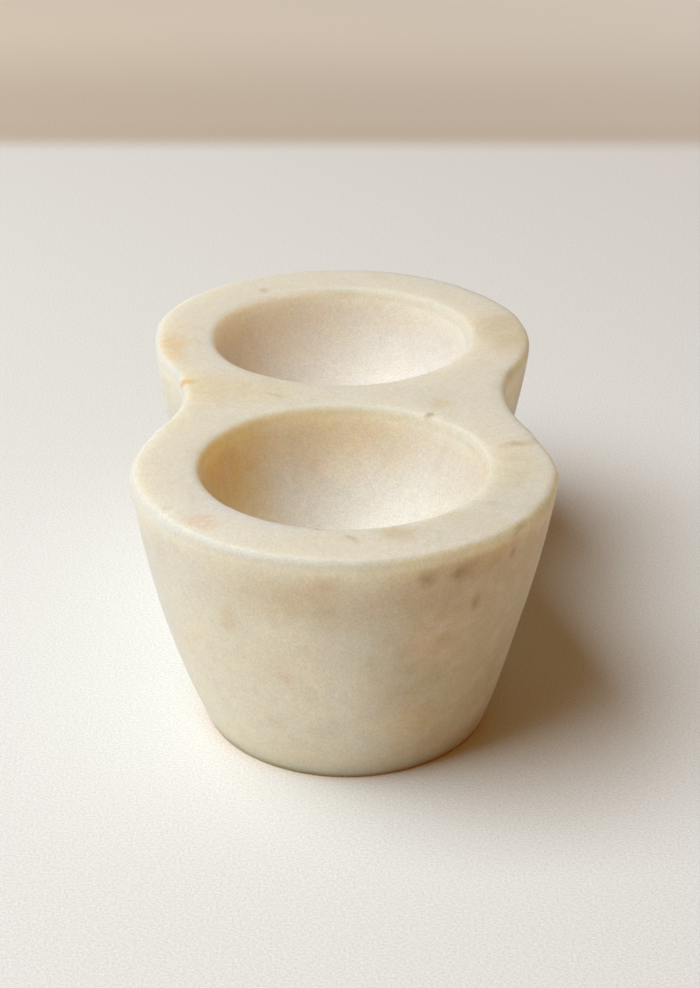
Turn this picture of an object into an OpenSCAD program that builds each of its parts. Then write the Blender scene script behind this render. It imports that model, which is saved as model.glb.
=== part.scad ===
// Twin salt cellar: one block of stone with two round bowls sunk into its flat top.
// Seen from above it is a figure eight: two round cup ends joined by a hollow waist.
// The length runs along Y, the width along X, and the block stands on Z = 0.

/* [Bowls] */
// Radius of each round bowl at its mouth, inside the rounded lip
bowl_r = 25.5; // [20:0.5:29]
// Depth of each bowl below the flat top
bowl_depth = 27; // [20:0.5:34]
// Squareness of the bowl's section: 2 is an ellipse, and more is fuller at the foot of the wall
bowl_power = 2.2; // [2:0.1:3]
// Radius of the small flat at the bottom of each bowl, where the cutter turned
bowl_flat_r = 1.5; // [0.5:0.5:6]
// Radius of the rounded lip round each bowl
lip_r = 1.6; // [0.8:0.1:2.4]

/* [Block] */
// Height of the block, from the table to the flat top
block_h = 49.5; // [41:0.5:60]
// Width of the stone between a bowl and the outside of its cup end, at the top
rim_w = 13; // [10:0.5:16]
// Width of the stone between the two bowls, at the top
bridge_w = 11.5; // [9:0.5:16]
// How far the wall draws in from the top down to the table, all round
wall_draw = 13.3; // [8:0.1:16]
// How far the wall bulges outside a straight line from its top to its foot
wall_bulge = 1.8; // [0.6:0.1:3]
// Radius of the hollow waist at the top, on each long side
waist_r = 28; // [20:0.5:38]
// Rounding of the outer edge of the flat top
rim_edge_r = 1.4; // [0.6:0.1:2.5]
// Rounding of the edge that meets the table
foot_edge_r = 0.6; // [0.3:0.1:1.5]

/* [Hidden] */
// Facets round a full turn
$fn = 180;
// How far a cutter runs past the face that it cuts
overrun = 0.5;
// How far a waist's sweep cuts into the cups, so that the two faces cross cleanly
waist_bite = 0.05;
// Steps along the wall's section
wall_steps = 14;
// Steps along a bowl's section
bowl_steps = 24;
// Steps along each rounded edge
edge_steps = 6;
// Angle, in a section, of a direction straight down
down = -90;
// Angle, in a section, of a direction straight up
up = 90;
// Angle, in a section, of the direction towards the axis
inwards = 180;
// Angle that runs from the bottom of a bowl's section to its top
quarter_turn = 90;

// Radius of each cup end at the top, where wall and flat top would meet in a sharp edge
cup_r = bowl_r + rim_w;
// Distance between the middles of the two bowls
bowl_pitch = 2 * bowl_r + bridge_w;
// Distance from a bowl's middle to the middle of a waist's sweep
waist_reach = cup_r + waist_r;
// Distance of the middle of a waist's sweep from the long axis
waist_x = sqrt(pow(waist_reach, 2) - pow(bowl_pitch / 2, 2));

// Straight distance from the foot of the wall to its top
wall_chord = norm([wall_draw, block_h]);
// Radius of the long arc that is the wall's section
wall_arc_r = (pow(wall_chord, 2) / 4 + pow(wall_bulge, 2)) / (2 * wall_bulge);
// Direction in which the wall bulges, as [radius, height]
wall_out = [block_h, -wall_draw] / wall_chord;
// Centre of the wall's arc, as [radius, height]
wall_centre = [cup_r - wall_draw / 2, block_h / 2] - (wall_arc_r - wall_bulge) * wall_out;

// Middle of an edge's rounding of radius r at height z, touching the wall from inside
function edge_centre(r, z) =
    [wall_centre[0] + sqrt(pow(wall_arc_r - r, 2) - pow(z - wall_centre[1], 2)), z];

// Direction from the wall's centre to a point
function wall_angle(p) = atan2(p[1] - wall_centre[1], p[0] - wall_centre[0]);

// Points along an arc, without its first point when skip is 1
function arc(centre, r, from, to, steps, skip = 0) =
    [for (i = [skip:steps]) centre + r * [cos(from + (to - from) * i / steps),
                                          sin(from + (to - from) * i / steps)]];

// Centre of the rounding where the wall meets the table
foot_edge = edge_centre(foot_edge_r, foot_edge_r);
// Centre of the rounding where the wall meets the flat top
rim_edge = edge_centre(rim_edge_r, block_h - rim_edge_r);

// Outside of a cup end from the table up to the flat top, as [radius, height]
wall_outline = concat(
    arc(foot_edge, foot_edge_r, down, wall_angle(foot_edge), edge_steps),
    arc(wall_centre, wall_arc_r, wall_angle(foot_edge), wall_angle(rim_edge), wall_steps, 1),
    arc(rim_edge, rim_edge_r, wall_angle(rim_edge), up, edge_steps, 1)
);
// Where the outline starts, on the table
foot_point = wall_outline[0];
// Where the outline ends, on the flat top
rim_point = wall_outline[len(wall_outline) - 1];

// Height at which a bowl's wall turns into its lip
lip_z = block_h - lip_r;
// Depth of a bowl's wall, below its lip
bowl_drop = bowl_depth - lip_r;
// Inside of a bowl from the flat at its bottom up to where its lip begins, as [radius, height]
bowl_outline = [for (i = [0:bowl_steps]) let (a = quarter_turn * i / bowl_steps)
    [bowl_flat_r + (bowl_r - bowl_flat_r) * pow(sin(a), 2 / bowl_power),
     lip_z - bowl_drop * pow(cos(a), 2 / bowl_power)]];

// Rounded lip of a bowl, from the bowl's wall out to the flat top
lip_outline = arc([bowl_r + lip_r, lip_z], lip_r, inwards, up, edge_steps, 1);

// Puts its children at the middle of each bowl
module at_bowls() {
    for (side = [-1, 1]) translate([0, side * bowl_pitch / 2, 0]) children();
}

// Puts its children at the middle of each waist's sweep
module at_waists() {
    for (side = [-1, 1]) translate([side * waist_x, 0, 0]) children();
}

// A round cup, whose outer half is an end of the block
module cup() {
    rotate_extrude() polygon(concat([[0, 0]], wall_outline, [[0, block_h]]));
}

// The stone between the cups, before the waists are cut: a prism with a corner at the middle
// of each bowl and of each waist's sweep
module middle() {
    linear_extrude(block_h)
        polygon([[0, -bowl_pitch / 2], [waist_x, 0], [0, bowl_pitch / 2], [-waist_x, 0]]);
}

// What a waist's sweep takes away: a turned shape that mirrors the cups' wall
module waist_cutter() {
    sweep = waist_reach + waist_bite;
    rotate_extrude() polygon(concat(
        [[0, -overrun], [sweep - foot_point[0], -overrun]],
        [for (p = wall_outline) [sweep - p[0], p[1]]],
        [[sweep - rim_point[0], block_h + overrun], [0, block_h + overrun]]
    ));
}

// What a bowl takes away, with its rounded lip; its top runs on in line with the lip's last step
module bowl_cutter() {
    lip_end = lip_outline[edge_steps - 1];
    lip_slope = lip_end - lip_outline[edge_steps - 2];
    lip_over = lip_end + lip_slope * overrun / lip_slope[1];
    rotate_extrude() polygon(concat(
        [[0, block_h - bowl_depth]],
        bowl_outline,
        [for (i = [0:edge_steps - 2]) lip_outline[i]],
        [lip_over, [0, lip_over[1]]]
    ));
}

module cellar_block() {
    color("antiquewhite") difference() {
        union() {
            at_bowls() cup();
            middle();
        }
        at_waists() waist_cutter();
        at_bowls() bowl_cutter();
    }
}

cellar_block();
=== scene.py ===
"""Salt cellar with two round bowls, carved from one block of honed cream marble, on a pale table."""
import math
import random

import bmesh
import bpy
from mathutils import Euler, Matrix, Vector, kdtree, noise


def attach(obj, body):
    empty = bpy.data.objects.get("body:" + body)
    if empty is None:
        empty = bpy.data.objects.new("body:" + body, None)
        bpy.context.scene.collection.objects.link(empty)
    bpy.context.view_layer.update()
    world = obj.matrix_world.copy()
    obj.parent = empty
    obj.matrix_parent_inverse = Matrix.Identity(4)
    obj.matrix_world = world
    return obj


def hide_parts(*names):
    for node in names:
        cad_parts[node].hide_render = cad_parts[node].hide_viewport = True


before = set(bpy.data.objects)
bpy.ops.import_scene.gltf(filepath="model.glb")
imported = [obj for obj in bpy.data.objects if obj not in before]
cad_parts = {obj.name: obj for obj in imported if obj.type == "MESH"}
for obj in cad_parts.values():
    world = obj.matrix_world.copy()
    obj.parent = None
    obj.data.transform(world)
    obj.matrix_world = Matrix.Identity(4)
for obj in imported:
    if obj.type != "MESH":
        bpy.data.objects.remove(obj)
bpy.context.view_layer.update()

# The camera
# A long lens on a stand by the table looks down along the cellar's length, as from a
# seated person's eye. Its place is measured from the middle of the cellar's underside.
MM = 0.001
PHOTO_HEIGHT_PX = 988
FOCAL_PX = 2337.1
SENSOR_HEIGHT = 36.0
CAMERA_AT = Vector((-3.4, -411.0, 226.2)) * MM
CAMERA_DOWN = math.radians(25.71)
CAMERA_TURN = math.radians(-0.70)
CAMERA_ROLL = math.radians(0.27)

lens = bpy.data.cameras.new("camera")
lens.sensor_fit = "VERTICAL"
lens.sensor_height = SENSOR_HEIGHT
lens.sensor_width = SENSOR_HEIGHT
lens.lens = FOCAL_PX / PHOTO_HEIGHT_PX * SENSOR_HEIGHT
lens.clip_start = 0.01
camera = bpy.data.objects.new("camera", lens)
camera.matrix_world = (
    Matrix.Translation(CAMERA_AT)
    @ Matrix.Rotation(CAMERA_TURN, 4, "Z")
    @ Matrix.Rotation(math.pi / 2 - CAMERA_DOWN, 4, "X")
    @ Matrix.Rotation(CAMERA_ROLL, 4, "Z")
)
scene = bpy.context.scene
scene.collection.objects.link(camera)
scene.camera = camera
scene.view_settings.view_transform = "Standard"

# The softbox
# One broad soft lamp stands on the cellar's left, a little towards the front and high, as
# a window would. It leaves a soft shadow on the right.
SOFTBOX_TURN = math.radians(196.6)
SOFTBOX_HEIGHT = math.radians(58.5)
SOFTBOX_REACH = 1.35
SOFTBOX_SIZE = (1.25, 0.95)
SOFTBOX_POWER = 24.4
SOFTBOX_COLOUR = (0.86, 0.93, 1.0)

softbox = bpy.data.lights.new("softbox", "AREA")
softbox.shape = "RECTANGLE"
softbox.size, softbox.size_y = SOFTBOX_SIZE
softbox.energy = SOFTBOX_POWER
softbox.color = SOFTBOX_COLOUR
stand = bpy.data.objects.new("softbox", softbox)
aim = Euler((0, math.pi / 2 - SOFTBOX_HEIGHT, SOFTBOX_TURN)).to_matrix() @ Vector((0, 0, 1))
stand.location = aim * SOFTBOX_REACH
stand.rotation_euler = aim.to_track_quat("Z", "Y").to_euler()
scene.collection.objects.link(stand)

# The room
# A faint warm light from all round keeps the cellar's far side from going black. The room's
# own walls are pale and plain, and are seen past the table.
ROOM_COLOUR = (1.0, 0.41, 0.0, 1)
ROOM_STRENGTH = 0.18
BACKDROP_COLOUR = (0.70, 0.65, 0.59, 1)


def add(tree, kind, inputs=(), **settings):
    """A node with its settings, and each input either a value or a socket to link."""
    made = tree.nodes.new("ShaderNode" + kind)
    for name, value in settings.items():
        setattr(made, name, value)
    for name, value in dict(inputs).items():
        if isinstance(value, bpy.types.NodeSocket):
            tree.links.new(value, made.inputs[name])
        else:
            made.inputs[name].default_value = value
    return made


def maths(tree, operation, first, second=0.0, third=0.0, clamp=False):
    """The result of one sum on up to three values or sockets."""
    values = {0: first, 1: second, 2: third}
    return add(tree, "Math", values, operation=operation, use_clamp=clamp).outputs[0]


room = bpy.data.worlds.new("room")
room.use_nodes = True
tree = room.node_tree
ray = add(tree, "LightPath").outputs
mirrored = maths(tree, "MAXIMUM", ray["Is Glossy Ray"], ray["Is Transmission Ray"])
seen = maths(tree, "MAXIMUM", ray["Is Camera Ray"], mirrored)
light = add(tree, "Background", {"Color": ROOM_COLOUR, "Strength": ROOM_STRENGTH})
walls = add(tree, "Background", {"Color": BACKDROP_COLOUR})
shown = add(tree, "MixShader", {0: seen, 1: light.outputs[0], 2: walls.outputs[0]})
tree.links.new(shown.outputs[0], tree.nodes["World Output"].inputs["Surface"])
scene.world = room

# The table
# A pale matt table top, faintly mottled. Past its far edge it takes the warmer, darker
# tone of the wall behind, darker still just over the edge, and further off on every side
# it fades into the room's pale walls. Where the tones start is in millimetres.
TABLE_HALF = 3.0
TABLE_COLOUR = (0.83, 0.832, 0.79, 1)
TABLE_ROUGHNESS = 0.9
TABLE_MOTTLE = (0.84, 0.835, 0.83, 1)
TABLE_RELIEF = 0.1 * MM
TABLE_FADE = (800, 1450)
WALL_TONES = (
    (309, TABLE_COLOUR),
    (331, (0.60, 0.51, 0.40, 1)),
    (352, (0.62, 0.53, 0.42, 1)),
    (480, (0.80, 0.71, 0.58, 1)),
)


def vectors(tree, operation, first, second=(0, 0, 0)):
    """A node that works on one or two vectors, or on a vector and a number."""
    return add(tree, "VectorMath", {0: first, 1: second}, operation=operation)


def step_between(tree, value, low, high, start=0.0, end=1.0):
    """start below low, end above high, and a smooth change between them."""
    inputs = {"Value": value, "From Min": low, "From Max": high, "To Min": start, "To Max": end}
    return add(tree, "MapRange", inputs, interpolation_type="SMOOTHSTEP").outputs["Result"]


def colours(tree, mode, factor, first, second):
    """Two colours laid over each other in the given blend mode."""
    inputs = {0: factor, 6: first, 7: second}
    return add(tree, "Mix", inputs, data_type="RGBA", blend_type=mode).outputs[2]


def new_group(name, inputs, outputs):
    """An empty node group with named sockets, and its input and output nodes."""
    group = bpy.data.node_groups.new(name, "ShaderNodeTree")
    for socket, (kind, value) in inputs.items():
        made = group.interface.new_socket(socket, in_out="INPUT", socket_type="NodeSocket" + kind)
        made.default_value = value
    for socket, kind in outputs.items():
        group.interface.new_socket(socket, in_out="OUTPUT", socket_type="NodeSocket" + kind)
    return group, group.nodes.new("NodeGroupInput"), group.nodes.new("NodeGroupOutput")


def use(tree, group, inputs):
    """Places a group in a material and returns its one output."""
    return add(tree, "Group", inputs, node_tree=group).outputs[0]


# One cloudy pattern, with patches of a given size in millimetres, from 0 to 1
mottle, enter, leave = new_group(
    "mottle",
    {
        "Place": ("Vector", (0, 0, 0)),
        "Patch": ("Float", 10.0),
        "Detail": ("Float", 3.0),
        "Twist": ("Float", 0.0),
        "Contrast": ("Float", 1.0),
    },
    {"Value": "Float"},
)
cloud = add(
    mottle,
    "TexNoise",
    {
        "Vector": enter.outputs["Place"],
        "Scale": maths(mottle, "DIVIDE", 1.0, enter.outputs["Patch"]),
        "Detail": enter.outputs["Detail"],
        "Distortion": enter.outputs["Twist"],
    },
)
centred = maths(mottle, "SUBTRACT", cloud.outputs["Fac"], 0.5)
spread = maths(mottle, "MULTIPLY_ADD", centred, enter.outputs["Contrast"], 0.5, clamp=True)
mottle.links.new(spread, leave.inputs["Value"])


def new_material(name, colour, roughness):
    """A material with its shader, and the object coordinates in millimetres."""
    material = bpy.data.materials.new(name)
    material.use_nodes = True
    tree = material.node_tree
    shader = tree.nodes["Principled BSDF"]
    shader.inputs["Base Color"].default_value = colour
    shader.inputs["Roughness"].default_value = roughness
    coordinates = add(tree, "TexCoord").outputs["Object"]
    place = add(tree, "Mapping", {"Vector": coordinates, "Scale": (1 / MM, 1 / MM, 1 / MM)})
    return material, tree, shader, place.outputs["Vector"]


def new_object(name, shape, material):
    """Turns a finished bmesh into an object that sits at the origin."""
    mesh = bpy.data.meshes.new(name)
    shape.to_mesh(mesh)
    shape.free()
    mesh.materials.append(material)
    made = bpy.data.objects.new(name, mesh)
    scene.collection.objects.link(made)
    return made


table_top, tree, shader, place = new_material("table_top", TABLE_COLOUR, TABLE_ROUGHNESS)
along = add(tree, "SeparateXYZ", {"Vector": place}).outputs["Y"]
tone = TABLE_COLOUR
for (near_y, _), (far_y, far_tone) in zip(WALL_TONES, WALL_TONES[1:]):
    tone = colours(tree, "MIX", step_between(tree, along, near_y, far_y), tone, far_tone)
faint = use(tree, mottle, {"Place": place, "Patch": 0.45, "Detail": 2.0, "Contrast": 3.0})
tone = colours(tree, "MULTIPLY", faint, tone, TABLE_MOTTLE)
under_lamp = (stand.location.x / MM, stand.location.y / MM, 0)
reach = vectors(tree, "DISTANCE", place, under_lamp).outputs["Value"]
far_off = step_between(tree, reach, *TABLE_FADE)
black = (0, 0, 0, 1)
tree.links.new(colours(tree, "MIX", far_off, tone, black), shader.inputs["Base Color"])
glow = colours(tree, "MIX", far_off, black, BACKDROP_COLOUR)
tree.links.new(glow, shader.inputs["Emission Color"])
shader.inputs["Emission Strength"].default_value = 1.0
grit = use(tree, mottle, {"Place": place, "Patch": 0.7, "Detail": 4.0, "Contrast": 1.5})
bump = add(tree, "Bump", {"Height": grit, "Strength": 0.4, "Distance": TABLE_RELIEF})
tree.links.new(bump.outputs["Normal"], shader.inputs["Normal"])

table_shape = bmesh.new()
bmesh.ops.create_grid(table_shape, x_segments=1, y_segments=1, size=TABLE_HALF)
table = new_object("table", table_shape, table_top)

# The block
# One solid block of cream marble. Its outer wall is turned as two tapering round cups that
# run into each other, the waists between them are hollowed to a curve, and a round bowl is
# sunk into each end from the flat top. All edges are eased by hand and the faces honed.
BLOCK_H = 49.5 * MM
BOWL_R = 25.5 * MM
BOWL_DEPTH = 27.0 * MM
BOWL_FLAT_R = 1.5 * MM
BOWL_POWER = 2.2
LIP_R = 1.6 * MM
RIM_W = 13.0 * MM
BRIDGE_W = 11.5 * MM
WALL_DRAW = 13.3 * MM
WALL_BULGE = 1.8 * MM
WAIST_R = 28.0 * MM
RIM_EDGE_R = 1.4 * MM
FOOT_EDGE_R = 0.6 * MM
FOOT_INSET = 3.0 * MM
BOWL_INSET = 0.7 * MM
NEAR = 0.01 * MM

# How many faces the sections and the rounds are drawn with
WALL_STEPS = 58
EDGE_STEPS = 6
END_STEPS = 96
WAIST_STEPS = 15
BRIDGE_STEPS = 34
TOP_STEPS = 14
BOWL_STEPS = 44

# The wall's section is an arc that leans out as it rises, met by a small arc at the foot
# and one at the rim
cup_r = BOWL_R + RIM_W
cup_mid = Vector((0, -(BOWL_R + BRIDGE_W / 2), 0))
waist_mid = Vector((math.sqrt((cup_r + WAIST_R) ** 2 - cup_mid.y**2), 0, 0))
waist_turn = math.atan2(-cup_mid.y, waist_mid.x)
rise = Vector((WALL_DRAW, BLOCK_H))
wall_arc_r = (rise.length_squared / 4 + WALL_BULGE**2) / (2 * WALL_BULGE)
inwards = rise.orthogonal().normalized()
wall_mid = Vector((cup_r - WALL_DRAW / 2, BLOCK_H / 2)) + inwards * (wall_arc_r - WALL_BULGE)


def edge_mid(radius, height):
    """The middle of an edge's arc, which meets the wall's arc from inside."""
    reach = math.sqrt((wall_arc_r - radius) ** 2 - (height - wall_mid.y) ** 2)
    return Vector((wall_mid.x + reach, height))


def lean(point):
    """The angle at which a point stands round the middle of the wall's arc."""
    return math.atan2(point.y - wall_mid.y, point.x - wall_mid.x)


def in_section(point):
    """A point of the section, given as distance from the cup's axis and height."""
    return Vector((0, cup_mid.y - point.x, point.y))


block = bmesh.new()


def sweep(end, middle, angle, steps):
    """Draws an arc of the section from its last vertex."""
    return bmesh.ops.spin(
        block, geom=end, cent=in_section(middle), axis=(1, 0, 0), angle=-angle, steps=steps
    )["geom_last"]


def turn_about(shape, middle, angle, steps):
    """Turns a section about an upright axis."""
    return bmesh.ops.spin(
        block, geom=shape, cent=middle, axis=(0, 0, 1), angle=angle, steps=steps
    )["geom_last"]


foot_mid = edge_mid(FOOT_EDGE_R, FOOT_EDGE_R)
rim_mid = edge_mid(RIM_EDGE_R, BLOCK_H - RIM_EDGE_R)
end = [block.verts.new(in_section(foot_mid - Vector((0, FOOT_EDGE_R))))]
end = sweep(end, foot_mid, math.pi / 2 + lean(foot_mid), EDGE_STEPS)
end = sweep(end, wall_mid, lean(rim_mid) - lean(foot_mid), WALL_STEPS)
end = sweep(end, rim_mid, math.pi / 2 - lean(rim_mid), EDGE_STEPS)
end[0].co.z = BLOCK_H

# The section turns round the cup as far as the waist, and then round the waist's own middle
seam = turn_about(block.verts[:] + block.edges[:], cup_mid, math.pi / 2 + waist_turn, END_STEPS)
seam = turn_about(seam, waist_mid, -waist_turn, WAIST_STEPS)

# A line across the bridge closes half of the top's outline
waist_top = max((part for part in seam if hasattr(part, "co")), key=lambda vert: vert.co.z)
bridge_line = block.edges.new((waist_top, block.verts.new((0, 0, BLOCK_H))))
bmesh.ops.subdivide_edges(block, edges=[bridge_line], cuts=BRIDGE_STEPS - 1)

# The bowl's section runs from the lip's arc down to a small flat at the bottom
wall_parts = set(block.verts)
end = [block.verts.new(in_section(Vector((BOWL_R + LIP_R, BLOCK_H))))]
end = sweep(end, Vector((BOWL_R + LIP_R, BLOCK_H - LIP_R)), math.pi / 2, EDGE_STEPS)
for step in range(BOWL_STEPS - 1, -1, -1):
    angle = math.pi / 2 * step / BOWL_STEPS
    out = BOWL_FLAT_R + (BOWL_R - BOWL_FLAT_R) * math.sin(angle) ** (2 / BOWL_POWER)
    down = LIP_R + (BOWL_DEPTH - LIP_R) * math.cos(angle) ** (2 / BOWL_POWER)
    point = block.verts.new(in_section(Vector((out, BLOCK_H - down))))
    block.edges.new((end[0], point))
    end = [point]
bowl_parts = [vert for vert in block.verts if vert not in wall_parts]
bowl_parts += [edge for edge in block.edges if edge.verts[0] not in wall_parts]
half_steps = END_STEPS + WAIST_STEPS + BRIDGE_STEPS
turn_about(bowl_parts, cup_mid, math.pi, half_steps)

# The flat top joins the outline to the lip, in rings
top_edges = [
    edge
    for edge in block.edges
    if len(edge.link_faces) < 2 and all(vert.co.z > BLOCK_H - NEAR for vert in edge.verts)
]
strip = bmesh.ops.bridge_loops(block, edges=top_edges)["faces"]
strip_edges = dict.fromkeys(edge for face in strip for edge in face.edges)
across = [edge for edge in strip_edges if edge not in top_edges]
bmesh.ops.subdivide_edges(block, edges=across, cuts=TOP_STEPS - 1, use_grid_fill=True)

# The half cup is mirrored to a whole one, and that to the second
for axis in "XY":
    everything = block.verts[:] + block.edges[:] + block.faces[:]
    bmesh.ops.mirror(block, geom=everything, axis=axis, merge_dist=NEAR)
bmesh.ops.remove_doubles(block, verts=block.verts, dist=NEAR)

# The underside and the bottoms of the bowls are closed, each with a ring inside its edge
holes = [edge for edge in block.edges if edge.is_boundary]
for cap in bmesh.ops.contextual_create(block, geom=holes)["faces"]:
    inset = FOOT_INSET if cap.calc_center_median().z < NEAR else BOWL_INSET
    bmesh.ops.inset_region(block, faces=[cap], thickness=inset)
bmesh.ops.recalc_face_normals(block, faces=block.faces)

# Hand work leaves no face quite true: broad, shallow waves, an edge that is rounder in some
# places than in others, and a few places worked a little further in or out: (middle, reach,
# push), in millimetres
WAVES = ((30 * MM, 0.16 * MM), (11 * MM, 0.05 * MM))
WAVES_APART = 7.3
EASED_BAND = 3.0 * MM
EASED_PATCH = 17 * MM
EASED_TIMES = 6
FLAT = 0.98
WORKED = (
    ((37.5, -33.0, 46.0), 17.0, (0.15, 0.0, 0.0)),
    ((36.8, -22.0, 47.5), 13.0, (-0.8, 0.2, 0.0)),
    ((-35.5, -19.5, 47.5), 12.0, (0.5, 0.1, 0.0)),
    ((-37.5, 29.0, 46.0), 14.0, (0.6, 0.0, 0.0)),
    ((4.0, -54.0, 0.0), 38.0, (0.5, -1.3, 0.0)),
    ((22.0, -38.0, 0.0), 26.0, (1.0, -0.2, 0.0)),
    ((30.7, -2.0, 47.0), 21.0, (0.95, 0.0, 0.0)),
)


def move_out(lengths):
    """Moves each vertex along its normal by its length."""
    block.normal_update()
    moved = {vert: vert.normal * length for vert, length in lengths.items()}
    for vert, move in moved.items():
        vert.co += move
        vert.co.z = max(vert.co.z, 0)


def wave_at(place):
    """How far the waves stand out at a place."""
    return sum(
        noise.noise(place / size + Vector((0, 0, WAVES_APART * number))) * depth
        for number, (size, depth) in enumerate(WAVES)
    )


move_out({vert: wave_at(vert.co) for vert in block.verts if vert.co.z > NEAR})
for middle, reach, push in WORKED:
    for vert in block.verts:
        near = 1 - (vert.co / MM - Vector(middle)).length / reach
        if near > 0:
            vert.co += Vector(push) * MM * near * near * (3 - 2 * near)
eased = [
    vert
    for vert in block.verts
    if vert.co.z > BLOCK_H - EASED_BAND
    and abs(vert.normal.z) < FLAT
    and noise.noise(vert.co / EASED_PATCH) > 0
]
for _ in range(EASED_TIMES):
    bmesh.ops.smooth_vert(
        block, verts=eased, factor=0.5, use_axis_x=True, use_axis_y=True, use_axis_z=True
    )

# Chips off the edges, pits where a crystal fell out, and scratches, each cut into the mesh:
# (place, radius, depth) and (start, end, half width, depth), in millimetres
PITS = (
    ((-4.6, -57.1, 49.4), 1.0, 0.50),
    ((16.4, -10.4, 49.3), 1.1, 0.45),
    ((30.2, -54.8, 48.2), 0.8, 0.28),
    ((25.3, -59.7, 49.2), 0.7, 0.22),
    ((34.6, -48.6, 48.6), 0.7, 0.22),
    ((22.2, -60.0, 36.3), 0.7, 0.25),
    ((13.6, -66.5, 44.6), 0.9, 0.18),
    ((28.8, -55.5, 43.8), 0.6, 0.22),
    ((19.6, -63.5, 44.2), 1.0, 0.20),
    ((-16.2, 55.6, 49.5), 0.8, 0.22),
    ((-29.8, 6.4, 49.5), 0.7, 0.15),
    ((-27.5, 62.0, 48.6), 0.9, 0.35),
    ((8.0, 57.8, 49.3), 0.8, 0.35),
    ((-37.0, -21.0, 48.2), 0.7, 0.25),
)
SCRATCHES = (
    ((0.2, -59.9, 49.5), (2.3, -62.9, 49.5), 0.28, 0.25),
    ((-14.2, 0.4, 49.5), (-11.1, -1.5, 49.5), 0.25, 0.16),
    ((11.9, -56.5, 7.6), (13.9, -56.0, 6.9), 0.25, 0.16),
    ((18.2, -59.9, 26.4), (20.8, -58.4, 25.9), 0.22, 0.12),
    ((-22.0, 58.5, 30.0), (-19.5, 60.5, 27.5), 0.25, 0.15),
)
SMALL_PITS = 46
SMALL_PIT_R = 0.38
SMALL_PIT_DEPTH = 0.10
PIT_REACH = 1.3
PIT_CUTS = 3
SCRATCH_REACH = 2.0
SCRATCH_CUTS = 2
RAGGED = 0.45
RAGGED_PATCH = 0.7


def refine(places, reach, grain):
    """Cuts the faces around some places finer, until no edge there is longer than grain,
    and returns the vertices there."""
    found = sorted({index for place in places for _, index, _ in skin.find_range(place, reach)})
    near = [skin_verts[index] for index in found if skin_verts[index].is_valid]
    while True:
        edges = dict.fromkeys(edge for vert in near for edge in vert.link_edges)
        long_edges = [edge for edge in edges if edge.calc_length() > grain]
        if not long_edges:
            return near
        cut = bmesh.ops.subdivide_edges(block, edges=long_edges, cuts=1, use_grid_fill=True)
        new = [part for part in cut["geom_inner"] if isinstance(part, bmesh.types.BMVert)]
        new = [vert for vert in new if any((vert.co - place).length < reach for place in places)]
        near = list(dict.fromkeys(vert for vert in near + new if vert.is_valid))


def sink(verts, gap, depth):
    """Sinks vertices, by depth where gap is 0 and not at all where it is 1."""
    lengths = {vert: gap(vert.co) for vert in verts}
    move_out({v: -depth * (1 - g * g) ** 2 for v, g in lengths.items() if g < 1})


def ragged(place, radius):
    """A number near 1 that makes the edge of a chip or a scratch wander."""
    return 1 + RAGGED * noise.noise(place / (RAGGED_PATCH * radius))


skin_verts = [vert for vert in block.verts if vert.co.z > FOOT_INSET]
skin = kdtree.KDTree(len(skin_verts))
for index, vert in enumerate(skin_verts):
    skin.insert(vert.co, index)
skin.balance()
chance = random.Random(11)
places = [chance.choice(skin_verts).co / MM for _ in range(SMALL_PITS)]
small_pits = [(place, SMALL_PIT_R, SMALL_PIT_DEPTH) for place in places]
for middle, radius, depth in list(PITS) + small_pits:
    middle, _, _ = skin.find(Vector(middle) * MM)
    radius *= MM
    verts = refine([middle], PIT_REACH * radius, radius / PIT_CUTS)
    sink(verts, lambda co: (co - middle).length / radius * ragged(co, radius), depth * MM)

for start, end, half_width, depth in SCRATCHES:
    start, end = Vector(start) * MM, Vector(end) * MM
    half_width *= MM
    steps = math.ceil((end - start).length / half_width)
    points = [start.lerp(end, step / steps) for step in range(steps + 1)]
    verts = refine(points, SCRATCH_REACH * half_width, half_width / SCRATCH_CUTS)

    def off_line(co):
        """How far a point is from the scratch's line, where 1 is its ragged edge."""
        along = min(max((co - start).dot(end - start) / (end - start).length_squared, 0), 1)
        off = co - start.lerp(end, along)
        return off.length / half_width * ragged(co, half_width)

    sink(verts, off_line, depth * MM)

# The finer cuts leave a few vertices that only halve an edge, and these are taken out
halving = [vert for vert in block.verts if len(vert.link_edges) == 2]
bmesh.ops.dissolve_verts(block, verts=halving)
for face in block.faces:
    face.smooth = True

# The marble
# Cream stone that light goes about a centimetre into, so what goes in at the rim comes out
# amber inside the bowls. It is cloudy, with fine crystals and many soft stains, and honed to
# a low sheen. The bowls are ground paler and duller than the outside.
MARBLE_COLOUR = (0.80, 0.79, 0.69, 1)
MARBLE_ROUGHNESS = 0.5
MARBLE_GLOSS = 0.24
MARBLE_DEPTH = 14.0 * MM
MARBLE_DEPTHS = (1.0, 0.75, 0.5)
MARBLE_RELIEF = 0.03 * MM
CRYSTAL = 0.9
TURNING_PITCH = 0.9
WANDER = 3.2
RAGGED_STAIN_AND_LIGHT = 2.5
WARM_STONE = (0.832, 0.804, 0.685, 1)
COOL_STONE = (0.828, 0.826, 0.735, 1)
GREY_STONE = (0.945, 0.95, 0.94, 1)
PEACH_STONE = (1.0, 0.955, 0.885, 1)
# Painted shade on the lamp-lit flat top
TOP_PAINTED_SHADE = (0.908, 0.882, 0.825, 1)
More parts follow.
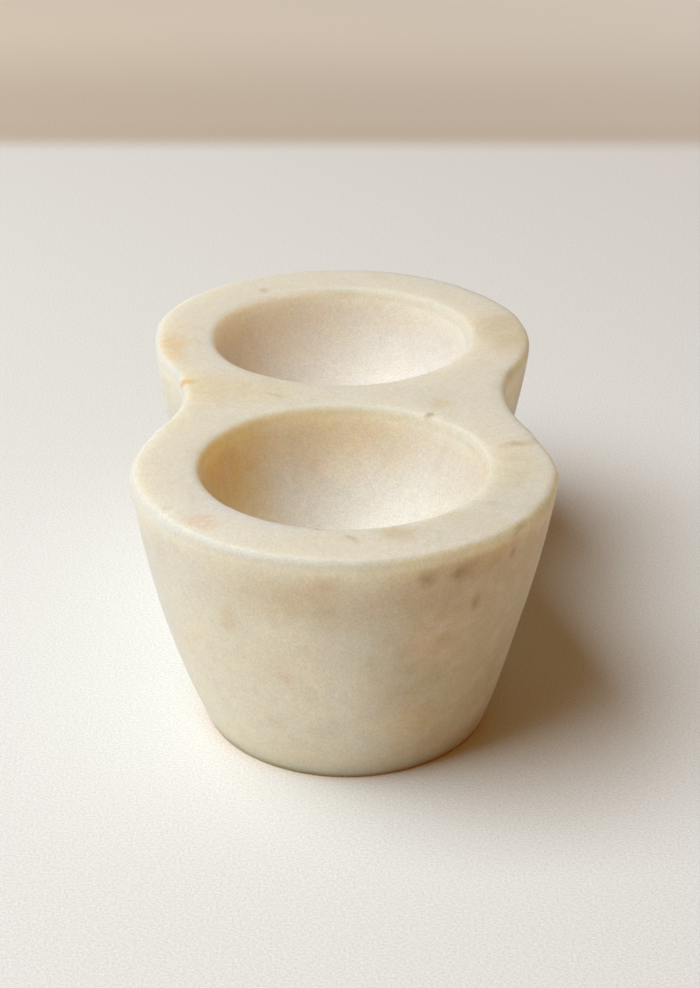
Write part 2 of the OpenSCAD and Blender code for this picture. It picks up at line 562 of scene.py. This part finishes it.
# Painted shade on the rounded rim and lips: grey where they face the lamp, olive on the rim and
# amber on the lips where they face away
LIT_EDGE_PAINTED_SHADE = (0.80, 0.81, 0.82, 1)
SHADED_EDGE_PAINTED_OLIVE = (0.84, 0.80, 0.69, 1)
LIT_LIP_PAINTED_SHADE = (0.81, 0.80, 0.72, 1)
SHADED_LIP_PAINTED_AMBER = (0.90, 0.81, 0.66, 1)
FAR_SHADED_LIP_PAINTED_AMBER = (0.99, 0.96, 0.89, 1)
NEAR_BOWL_STONE = (1.05, 1.03, 1.06, 1)
FAR_BOWL_STONE = (1.075, 1.055, 1.10, 1)
# Painted glow of light through the stone, low on the wall and in the line at the foot
LOW_PAINTED_GLOW = (1.08, 0.975, 0.86, 1)
FOOT_PAINTED_GLOW = (1.36, 0.90, 0.55, 1)
CRYSTAL_STONE = (0.965, 0.96, 0.95, 1)
FINE_STONE = (0.97, 0.965, 0.955, 1)
SPECKLE_STONE = (0.87, 0.865, 0.855, 1)

# Stains in the stone, and patches of painted light and shade, by the part of the surface that they
# keep
# to: middle, half size, turn about the upright, raggedness, sharpness, tint and strength
STAINS_AND_PAINTED_LIGHT = {
    "top": (
        ((-33.8, 24.5, 49.5), (4.8, 10.0, 4.0), 5, 3.0, 0.2, (0.96, 0.83, 0.67), 1.0),
        ((-22.0, 2.5, 49.5), (21.0, 11.0, 3.0), -8, 2.0, 0.2, (0.98, 0.92, 0.79), 1.0),
        ((-16.2, 55.6, 49.5), (1.8, 2.4, 2.0), 0, 0.9, 0.0, (0.80, 0.70, 0.64), 1.0),
        ((-12.7, -0.5, 49.5), (3.6, 1.1, 1.3), -34, 0.6, 0.0, (0.86, 0.76, 0.62), 1.0),
        ((15.8, 1.0, 49.5), (7.2, 5.2, 3.9), 0, 3.0, 0.0, (0.96, 0.97, 0.96), 0.75),
        ((18.1, -4.8, 49.5), (3.2, 5.0, 2.6), -15, 1.6, 0.0, (0.94, 0.86, 0.73), 0.9),
        ((32.6, -22.8, 49.4), (6.0, 2.2, 2.1), 14, 1.4, 0.0, (0.80, 0.69, 0.56), 1.0),
        ((31.5, -29.6, 49.5), (4.7, 2.1, 2.6), 8, 1.4, 0.0, (0.92, 0.87, 0.79), 0.75),
        ((31.5, -33.0, 49.5), (9.0, 17.0, 3.0), 0, 3.0, 0.2, (0.97, 0.95, 0.89), 1.0),
        ((25.6, -47.6, 49.5), (1.8, 2.3, 2.0), 0, 1.0, 0.0, (0.95, 0.88, 0.83), 0.75),
        ((17.6, -52.8, 49.5), (7.2, 3.1, 2.3), 28, 1.9, 0.0, (0.96, 0.94, 0.90), 0.75),
        ((8.6, -59.4, 49.5), (5.6, 4.6, 3.0), 0, 1.8, 0.0, (0.84, 0.75, 0.62), 1.0),
        ((1.2, -61.2, 49.5), (2.8, 1.2, 1.3), -55, 0.6, 0.0, (0.80, 0.74, 0.62), 1.0),
        ((-24.3, -55.0, 49.5), (5.6, 3.6, 2.1), -20, 3.2, 0.0, (0.98, 0.80, 0.70), 1.0),
        ((-30.5, -49.6, 49.5), (1.3, 1.6, 1.3), 0, 0.6, 0.0, (0.93, 0.87, 0.78), 0.75),
        ((13.6, -63.9, 49.5), (1.0, 1.3, 1.3), 0, 0.5, 0.0, (0.92, 0.88, 0.80), 0.75),
        ((34.0, 32.0, 49.5), (10.0, 16.0, 4.0), 0, 2.0, 0.2, (0.87, 0.79, 0.65), 1.0),
        # The next two are painted light and shade on the near cup's top: lighter on its left,
        # towards the lamp, and darker on its right, as the lamp's light falls off across it
        ((24.0, -50.0, 49.5), (24.0, 26.0, 4.0), 0, 2.0, 0.2, (0.92, 0.935, 0.945), 1.0),
        ((-22.0, -54.0, 49.5), (24.0, 18.0, 4.0), 0, 2.0, 0.2, (1.03, 1.05, 1.11), 1.0),
    ),
    "wall": (
        ((-20.0, -61.2, 34.8), (3.9, 3.9, 4.7), 0, 2.2, 0.0, (0.90, 0.83, 0.75), 0.75),
        ((-4.0, -68.6, 44.0), (5.9, 3.9, 3.9), 0, 2.4, 0.0, (0.94, 0.87, 0.80), 0.75),
        ((13.6, -66.5, 44.6), (2.5, 2.5, 2.3), 0, 0.8, 0.0, (0.70, 0.63, 0.48), 0.9),
        ((19.4, -63.7, 44.3), (2.0, 2.0, 1.7), 0, 0.8, 0.0, (0.76, 0.64, 0.48), 0.9),
        ((20.5, -63.0, 44.6), (5.0, 3.9, 3.2), 0, 1.4, 0.0, (0.72, 0.63, 0.48), 0.85),
        ((25.4, -58.8, 43.0), (3.9, 3.9, 5.2), 0, 1.9, 0.0, (0.91, 0.90, 0.84), 0.75),
        ((22.2, -60.0, 36.3), (1.9, 1.9, 2.4), 0, 0.8, 0.0, (0.74, 0.59, 0.45), 0.85),
        ((28.8, -55.5, 43.8), (1.4, 1.6, 1.4), 0, 0.6, 0.0, (0.76, 0.72, 0.64), 0.9),
        ((17.5, -61.8, 31.1), (3.9, 3.9, 4.4), 0, 1.9, 0.0, (0.90, 0.89, 0.82), 0.75),
        ((4.6, -65.4, 28.1), (2.1, 2.1, 3.6), 0, 1.4, 0.0, (0.90, 0.92, 0.89), 0.75),
        ((-12.1, -58.7, 12.7), (2.9, 2.9, 2.6), 0, 1.4, 0.0, (0.95, 0.89, 0.83), 0.75),
        ((-9.9, -63.2, 24.0), (2.9, 2.9, 3.1), 0, 1.4, 0.0, (0.93, 0.87, 0.84), 0.75),
        ((-3.1, -60.8, 11.8), (4.2, 3.1, 3.1), 0, 1.8, 0.0, (0.96, 0.92, 0.90), 0.75),
        ((12.9, -56.2, 7.2), (2.2, 1.2, 1.1), 0, 0.3, 0.0, (0.64, 0.58, 0.48), 1.0),
        ((-32.2, -50.5, 42.9), (3.9, 3.9, 5.2), 0, 2.4, 0.0, (0.96, 0.91, 0.84), 0.75),
        ((24.0, 58.0, 44.0), (6.5, 6.5, 5.2), 0, 3.0, 0.0, (0.92, 0.86, 0.78), 0.75),
        ((-31.0, 49.0, 30.0), (3.9, 5.2, 6.5), 0, 2.4, 0.0, (0.90, 0.86, 0.78), 0.75),
        ((6.0, 63.0, 22.0), (4.0, 3.0, 6.0), 0, 2.5, 0.1, (0.94, 0.90, 0.84), 1.0),
        ((33.0, 40.0, 33.0), (3.0, 6.0, 3.0), 0, 2.5, 0.1, (0.88, 0.87, 0.82), 1.0),
        ((-29.0, -3.0, 38.0), (3.9, 6.5, 5.2), 0, 2.4, 0.0, (0.95, 0.88, 0.78), 0.75),
        # The next three are painted light and shade: the near cup's right side, away from the lamp,
        # is painted darker and browner, partly painted shade and partly browner stone; the wall low
        # on the left and front, towards the lamp, is painted lighter, a painted light; and the
        # shaded wall under the right waist is painted lighter, a painted light
        ((34.0, -60.0, 24.0), (36.0, 32.0, 60.0), 0, 2.0, 0.5, (0.84, 0.715, 0.52), 1.0),
        ((-17.0, -58.0, 18.0), (32.0, 26.0, 30.0), 0, 2.0, 0.4, (1.13, 1.11, 1.07), 1.0),
        ((34.0, 8.0, 30.0), (10.0, 16.0, 30.0), 0, 3.0, 0.5, (1.12, 1.12, 1.08), 1.0),
        ((-6.0, -66.0, 40.0), (22.0, 12.0, 8.0), 0, 2.0, 0.0, (0.93, 0.85, 0.72), 1.0),
        ((16.5, -62.5, 31.0), (9.0, 9.0, 9.0), 0, 2.0, 0.1, (1.13, 1.11, 1.16), 1.0),
        ((9.0, -67.5, 41.0), (11.0, 9.0, 9.0), 0, 2.0, 0.0, (0.97, 0.94, 0.88), 1.0),
        ((24.5, -50.5, 16.0), (11.0, 9.0, 9.0), 0, 2.0, 0.1, (0.96, 0.91, 0.82), 1.0),
        ((10.0, -60.0, 13.0), (8.0, 8.0, 7.0), 0, 2.0, 0.1, (1.10, 1.06, 0.98), 1.0),
        ((-11.0, -66.0, 36.5), (10.0, 8.0, 8.0), 0, 2.0, 0.1, (1.04, 1.07, 1.10), 1.0),
    ),
    "bowl": (
        # The first five here are painted shade: amber on the shaded left walls of both bowls and
        # under the near bowl's far lip, a painted glow of light through the stone, and grey on the
        # lamp-lit right walls, holding down their light
        ((-20.0, -28.0, 42.0), (15.0, 28.0, 21.0), 0, 2.0, 0.3, (0.97, 0.83, 0.44), 1.0),
        ((22.0, -34.0, 36.0), (17.0, 26.0, 22.0), 0, 2.0, 0.3, (0.90, 0.89, 0.84), 1.0),
        ((-2.0, -8.0, 43.0), (22.0, 8.0, 12.0), 0, 3.0, 0.1, (1.01, 0.96, 0.84), 1.0),
        ((-21.0, 31.0, 40.0), (12.0, 27.0, 18.0), 0, 2.0, 0.2, (0.95, 0.89, 0.77), 1.0),
        ((18.0, 33.0, 38.0), (14.0, 24.0, 18.0), 0, 2.0, 0.2, (0.93, 0.93, 0.94), 1.0),
        ((1.5, -7.0, 38.5), (8.0, 6.0, 8.0), 0, 2.0, 0.1, (1.06, 1.07, 1.09), 1.0),
    ),
    "all": (
        ((-30.2, 6.2, 49.3), (3.2, 2.1, 2.4), 10, 0.6, 0.1, (0.88, 0.62, 0.32), 1.0),
        ((16.6, -9.9, 49.2), (1.6, 1.5, 1.8), 0, 0.6, 0.0, (0.66, 0.57, 0.50), 1.0),
        # The next two are painted shade on the rounded rim edge at the right waist, which faces away
        # from the lamp
        ((30.5, 3.0, 48.6), (3.6, 4.6, 3.2), 0, 2.2, 0.0, (0.88, 0.89, 0.86), 0.75),
        ((32.6, 11.2, 48.4), (1.5, 4.2, 3.0), -12, 1.2, 0.0, (0.87, 0.86, 0.81), 1.0),
        ((25.2, -33.0, 47.0), (3.0, 7.0, 4.0), 0, 2.0, 0.1, (0.99, 0.91, 0.84), 1.0),
        ((-4.5, -57.2, 49.3), (1.7, 1.5, 1.6), 0, 0.4, 0.0, (0.64, 0.60, 0.48), 1.0),
        # Painted shade: an olive line along the near cup's right rim edge, which faces away from the
        # lamp
        ((34.6, -47.5, 47.7), (3.6, 12.0, 1.7), -25, 0.8, 0.1, (0.88, 0.84, 0.72), 1.0),
        ((29.6, -55.2, 48.2), (3.8, 2.2, 1.3), 38, 1.3, 0.0, (0.76, 0.72, 0.62), 0.9),
    ),
}

# One tinted patch, soft at its edge, laid over a colour; most are stains in the stone, and some are
# painted light and shade
stain_and_painted_light, enter, leave = new_group(
    "stain_and_painted_light",
    {
        "Colour": ("Color", (1, 1, 1, 1)),
        "Place": ("Vector", (0, 0, 0)),
        "Drift": ("Vector", (0, 0, 0)),
        "Middle": ("Vector", (0, 0, 0)),
        "Half Size": ("Vector", (1, 1, 1)),
        "Turn": ("Vector", (0, 0, 0)),
        "Ragged": ("Float", 1.0),
        "Sharp": ("Float", 0.1),
        "Tint": ("Color", (1, 1, 1, 1)),
        "Strength": ("Float", 1.0),
        "Broken": ("Float", 0.5),
        "Where": ("Float", 1.0),
    },
    {"Colour": "Color"},
)
drifted = vectors(stain_and_painted_light, "SCALE", enter.outputs["Drift"])
stain_and_painted_light.links.new(enter.outputs["Ragged"], drifted.inputs["Scale"])
moved = vectors(stain_and_painted_light, "ADD", enter.outputs["Place"], drifted.outputs["Vector"])
from_middle = vectors(stain_and_painted_light, "SUBTRACT", moved.outputs["Vector"], enter.outputs["Middle"])
turned = add(
    stain_and_painted_light,
    "VectorRotate",
    {"Vector": from_middle.outputs["Vector"], "Rotation": enter.outputs["Turn"]},
    rotation_type="EULER_XYZ",
    invert=True,
)
sized = vectors(stain_and_painted_light, "DIVIDE", turned.outputs["Vector"], enter.outputs["Half Size"])
reach = vectors(stain_and_painted_light, "LENGTH", sized.outputs["Vector"]).outputs["Value"]
inside = step_between(stain_and_painted_light, reach, enter.outputs["Sharp"], 1.0, 1.0, 0.0)
strong = maths(stain_and_painted_light, "MULTIPLY", inside, enter.outputs["Strength"])
broken = maths(stain_and_painted_light, "MULTIPLY_ADD", enter.outputs["Broken"], 0.7, 0.6)
kept = maths(stain_and_painted_light, "MULTIPLY", strong, enter.outputs["Where"])
amount = maths(stain_and_painted_light, "MULTIPLY", kept, broken, clamp=True)
with_stain_and_light = colours(stain_and_painted_light, "MULTIPLY", amount, enter.outputs["Colour"], enter.outputs["Tint"])
stain_and_painted_light.links.new(with_stain_and_light, leave.inputs["Colour"])

marble, tree, shader, place = new_material("marble", MARBLE_COLOUR, MARBLE_ROUGHNESS)
shader.inputs["Subsurface Weight"].default_value = 1.0
shader.inputs["Subsurface Radius"].default_value = MARBLE_DEPTHS
shader.inputs["Subsurface Scale"].default_value = MARBLE_DEPTH
shader.inputs["IOR"].default_value = 1.5
shader.inputs["Specular IOR Level"].default_value = MARBLE_GLOSS


def patches(patch, detail=2.0, twist=0.0, contrast=2.0, shift=0.0):
    """Cloudy patches over the stone; shift takes them from another part of the pattern."""
    moved = vectors(tree, "ADD", place, (shift, shift, shift)).outputs["Vector"]
    values = {"Place": moved, "Patch": patch, "Detail": detail}
    values.update({"Twist": twist, "Contrast": contrast})
    return use(tree, mottle, values)


# Clouds, grey and peach patches
stone = colours(tree, "MIX", patches(22.0, detail=3.0, twist=0.6), WARM_STONE, COOL_STONE)
grey = step_between(tree, patches(9.0, detail=4.0, twist=1.0, contrast=1.6, shift=40.0), 0.5, 0.95)
stone = colours(tree, "MULTIPLY", grey, stone, GREY_STONE)
peach = step_between(tree, patches(15.0, detail=4.0, twist=1.0, contrast=1.6, shift=80.0), 0.6, 1.0)
stone = colours(tree, "MULTIPLY", peach, stone, PEACH_STONE)

# Crystals: single grains a little lighter or darker than the next
grains = add(tree, "TexVoronoi", {"Vector": place, "Scale": 1 / CRYSTAL}, feature="F1")
grain = add(tree, "SeparateColor", {"Color": grains.outputs["Color"]}).outputs["Red"]
stone = colours(tree, "MULTIPLY", grain, stone, CRYSTAL_STONE)
fine = patches(1.6, detail=4.0, contrast=1.8, shift=200.0)
stone = colours(tree, "MULTIPLY", fine, stone, FINE_STONE)
speckle = patches(0.36, contrast=3.0, shift=360.0)
stone = colours(tree, "MULTIPLY", speckle, stone, SPECKLE_STONE)

# The bowls are ground paler than the outside, the far one more so
cup_y = -cup_mid.y / MM
apart = add(tree, "SeparateXYZ", {"Vector": place})
across_cup = maths(tree, "SUBTRACT", maths(tree, "ABSOLUTE", apart.outputs["Y"]), cup_y)
out = add(tree, "CombineXYZ", {"X": apart.outputs["X"], "Y": across_cup})
from_axis = vectors(tree, "LENGTH", out.outputs["Vector"]).outputs["Value"]
height = apart.outputs["Z"]
bowl_r = BOWL_R / MM
in_bowl = step_between(tree, from_axis, bowl_r - 0.2, bowl_r + 0.9, 1.0, 0.0)
in_bowl = maths(tree, "MULTIPLY", in_bowl, step_between(tree, height, 12.0, 14.0))
far_cup = step_between(tree, apart.outputs["Y"], -1.0, 1.0)
bowl_tint = colours(tree, "MIX", far_cup, NEAR_BOWL_STONE, FAR_BOWL_STONE)
stone = colours(tree, "MULTIPLY", in_bowl, stone, bowl_tint)

# The rounded rim and lips are painted a deeper tone by which way they face the lamp: painted
# shade in grey where they face it, holding down their light, and where they face away, painted
# shade in olive on the rim and in amber on the lips, the amber a painted glow of light through the
# stone
facing = add(tree, "SeparateXYZ", {"Vector": add(tree, "TexCoord").outputs["Normal"]})
rounded = step_between(tree, facing.outputs["Z"], 0.75, 0.995, 1.0, 0.0)
edge_shade_area = maths(tree, "MULTIPLY", rounded, step_between(tree, height, 46.8, 48.8))
by_lip = step_between(tree, from_axis, bowl_r + 2.5, bowl_r + 4.0, 1.0, 0.0)
lip_faces_away = step_between(tree, facing.outputs["X"], -0.05, 0.45)
away_lip_amber = colours(tree, "MIX", far_cup, SHADED_LIP_PAINTED_AMBER, FAR_SHADED_LIP_PAINTED_AMBER)
painted_lip_shade = colours(tree, "MIX", lip_faces_away, LIT_LIP_PAINTED_SHADE, away_lip_amber)
edge_faces_away = step_between(tree, facing.outputs["X"], 0.0, 0.3)
painted_rim_shade = colours(tree, "MIX", edge_faces_away, LIT_EDGE_PAINTED_SHADE, SHADED_EDGE_PAINTED_OLIVE)
painted_edge_shade = colours(tree, "MIX", by_lip, painted_rim_shade, painted_lip_shade)
stone = colours(tree, "MULTIPLY", edge_shade_area, stone, painted_edge_shade)

# The foot is painted warmer: a painted glow of light through the stone, most so in the shaded line
# where it meets the table
low_down = step_between(tree, height, 1.0, 12.0, 1.0, 0.0)
stone = colours(tree, "MULTIPLY", low_down, stone, LOW_PAINTED_GLOW)
by_foot = step_between(tree, height, 0.5, 1.6, 1.0, 0.0)
stone = colours(tree, "MULTIPLY", by_foot, stone, FOOT_PAINTED_GLOW)

# The flat top, which faces the lamp, is painted a little darker and warmer: painted shade that holds
# down its light
on_top = step_between(tree, facing.outputs["Z"], 0.80, 0.98)
on_top = maths(tree, "MULTIPLY", on_top, step_between(tree, height, 46.0, 48.0))
stone = colours(tree, "MULTIPLY", on_top, stone, TOP_PAINTED_SHADE)

# Stains, and patches of painted light and shade, in their places, with edges that wander with the
# stone's own pattern
outside = maths(tree, "SUBTRACT", 1.0, in_bowl)
on_wall = maths(tree, "MULTIPLY", outside, step_between(tree, height, 45.8, 48.6, 1.0, 0.0))
wander = add(tree, "TexNoise", {"Vector": place, "Scale": 1 / WANDER, "Detail": 6.0})
drift = vectors(tree, "SUBTRACT", wander.outputs["Color"], (0.5, 0.5, 0.5)).outputs["Vector"]
broken = patches(3.5, detail=5.0, contrast=1.8, shift=320.0)
regions = {"top": on_top, "wall": on_wall, "bowl": in_bowl, "all": 1.0}
for region, where in regions.items():
    for middle, half_size, turn, rough_edge, sharp, tint, strength in STAINS_AND_PAINTED_LIGHT[region]:
        stone = use(
            tree,
            stain_and_painted_light,
            {
                "Colour": stone,
                "Place": place,
                "Drift": drift,
                "Middle": middle,
                "Half Size": half_size,
                "Turn": (0, 0, math.radians(turn)),
                "Ragged": RAGGED_STAIN_AND_LIGHT * rough_edge,
                "Sharp": sharp,
                "Tint": (*tint, 1),
                "Strength": strength,
                "Broken": broken,
                "Where": where,
            },
        )
tree.links.new(stone, shader.inputs["Base Color"])

# The sheen: honed, varying a little in patches, duller in the bowls
sheen = step_between(tree, patches(6.0, detail=3.0, contrast=1.6, shift=240.0), 0.0, 1.0, 0.45, 0.55)
sheen = maths(tree, "MULTIPLY_ADD", in_bowl, 0.12, sheen)
tree.links.new(sheen, shader.inputs["Roughness"])

# The surface: honing marks and grains, and the turning lines that the bowls keep
honing = patches(0.5, contrast=1.5, shift=280.0)
rings = maths(tree, "SINE", maths(tree, "MULTIPLY", from_axis, math.tau / TURNING_PITCH))
rings = maths(tree, "MULTIPLY", rings, maths(tree, "MULTIPLY", in_bowl, 0.25))
relief = maths(tree, "MULTIPLY_ADD", grain, 0.3, maths(tree, "ADD", honing, rings))
bump = add(tree, "Bump", {"Height": relief, "Strength": 0.5, "Distance": MARBLE_RELIEF})
tree.links.new(bump.outputs["Normal"], shader.inputs["Normal"])

cellar = new_object("cellar", block, marble)
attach(cellar, "root")
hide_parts("cellar_block")
